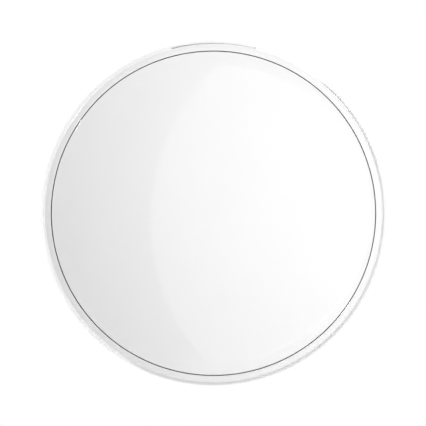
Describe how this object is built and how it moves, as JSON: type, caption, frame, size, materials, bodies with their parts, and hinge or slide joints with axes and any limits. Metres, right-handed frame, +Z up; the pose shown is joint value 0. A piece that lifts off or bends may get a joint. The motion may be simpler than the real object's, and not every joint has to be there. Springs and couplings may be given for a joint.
{
  "type": "wall thermostat",
  "caption": "Round white wall thermostat: a wall plate with spring terminals, and a pull-off head with a domed blank face, a turning ring and a press bar on top.",
  "frame": {"origin": "middle of the wall plate's back face, on the wall and on the dial's axis", "axes": "+Y into the wall, -Y out of the glossy face, +Z up towards the press bar, +X to the right as seen from the room"},
  "size_m": [0.084, 0.0305, 0.084],
  "materials": {
    "gloss_white": "polished moulding",
    "satin_white": "fine satin moulding",
    "matt_white": "matt moulding",
    "grey_nylon": "matt nylon",
    "black_plastic": "matt moulding",
    "amber_key": "satin moulding",
    "board_green": "solder mask on glass-fibre board",
    "spring_steel": "zinc plated",
    "nickel": "nickel plated",
    "gasket_foam": "closed-cell foam",
    "cell_jacket": "printed jacket",
    "diffuser": "milky acrylic",
    "clear_acrylic": "clear acrylic",
    "level_green": "dyed liquid"
  },
  "bodies": {
    "wall_base": {"wall_plate": "matt_white", "base_board": "board_green", "terminal_block_left": "grey_nylon", "terminal_block_right": "grey_nylon", "base_socket": "black_plastic", "relay_left": "black_plastic", "relay_right": "black_plastic", "level_vial": "clear_acrylic", "level_plug": "clear_acrylic", "level_liquid": "level_green", "terminal_clamp_1": "spring_steel", "terminal_clamp_2": "spring_steel", "terminal_clamp_3": "spring_steel", "terminal_clamp_4": "spring_steel", "terminal_clamp_5": "spring_steel", "terminal_clamp_6": "spring_steel"},
    "terminal_key_1": {"terminal_button_1": "amber_key"},
    "terminal_key_2": {"terminal_button_2": "amber_key"},
    "terminal_key_3": {"terminal_button_3": "amber_key"},
    "terminal_key_4": {"terminal_button_4": "amber_key"},
    "terminal_key_5": {"terminal_button_5": "amber_key"},
    "terminal_key_6": {"terminal_button_6": "amber_key"},
    "head": {"rear_case": "satin_white", "chassis": "matt_white", "glide_ring": "grey_nylon", "front_lens": "gloss_white", "lens_gasket": "gasket_foam", "light_guide": "diffuser", "display_module": "black_plastic", "presence_sensor": "black_plastic", "main_board": "board_green", "processor": "black_plastic", "radio_module": "spring_steel", "buzzer": "black_plastic", "dial_sensor": "black_plastic", "button_board": "board_green", "button_switch": "black_plastic", "sensor_board": "board_green", "temperature_sensor": "black_plastic", "pin_header": "black_plastic", "battery_upper": "cell_jacket", "battery_lower": "cell_jacket", "contact_bridge": "nickel", "contact_positive": "nickel", "contact_negative": "nickel", "case_screw_1": "spring_steel", "case_screw_2": "spring_steel", "case_screw_3": "spring_steel", "case_screw_4": "spring_steel", "board_screw_1": "spring_steel", "board_screw_2": "spring_steel", "board_screw_3": "spring_steel", "board_screw_4": "spring_steel"},
    "dial": {"dial_ring": "gloss_white"},
    "press_bar": {"top_button": "satin_white", "switch_plunger": "black_plastic"}
  },
  "joints": [
    {"name": "head_pull_off", "type": "slide", "parent": "wall_base", "child": "head", "axis": [0, -1, 0], "range_m": [0, 0.06]},
    {"name": "dial_turn", "type": "hinge", "parent": "head", "child": "dial", "pos_m": [0, 0, 0], "axis": [0, 1, 0], "continuous": true},
    {"name": "top_button_press", "type": "slide", "parent": "head", "child": "press_bar", "axis": [0, 0, -1], "range_m": [0, 0.0008], "stiffness_N_per_m": 1500, "springref_m": -0.0004},
    {"name": "terminal_press_1", "type": "slide", "parent": "wall_base", "child": "terminal_key_1", "axis": [0, 1, 0], "range_m": [0, 0.0014], "stiffness_N_per_m": 2500, "springref_m": -0.0004},
    {"name": "terminal_press_2", "type": "slide", "parent": "wall_base", "child": "terminal_key_2", "axis": [0, 1, 0], "range_m": [0, 0.0014], "stiffness_N_per_m": 2500, "springref_m": -0.0004},
    {"name": "terminal_press_3", "type": "slide", "parent": "wall_base", "child": "terminal_key_3", "axis": [0, 1, 0], "range_m": [0, 0.0014], "stiffness_N_per_m": 2500, "springref_m": -0.0004},
    {"name": "terminal_press_4", "type": "slide", "parent": "wall_base", "child": "terminal_key_4", "axis": [0, 1, 0], "range_m": [0, 0.0014], "stiffness_N_per_m": 2500, "springref_m": -0.0004},
    {"name": "terminal_press_5", "type": "slide", "parent": "wall_base", "child": "terminal_key_5", "axis": [0, 1, 0], "range_m": [0, 0.0014], "stiffness_N_per_m": 2500, "springref_m": -0.0004},
    {"name": "terminal_press_6", "type": "slide", "parent": "wall_base", "child": "terminal_key_6", "axis": [0, 1, 0], "range_m": [0, 0.0014], "stiffness_N_per_m": 2500, "springref_m": -0.0004}
  ]
}
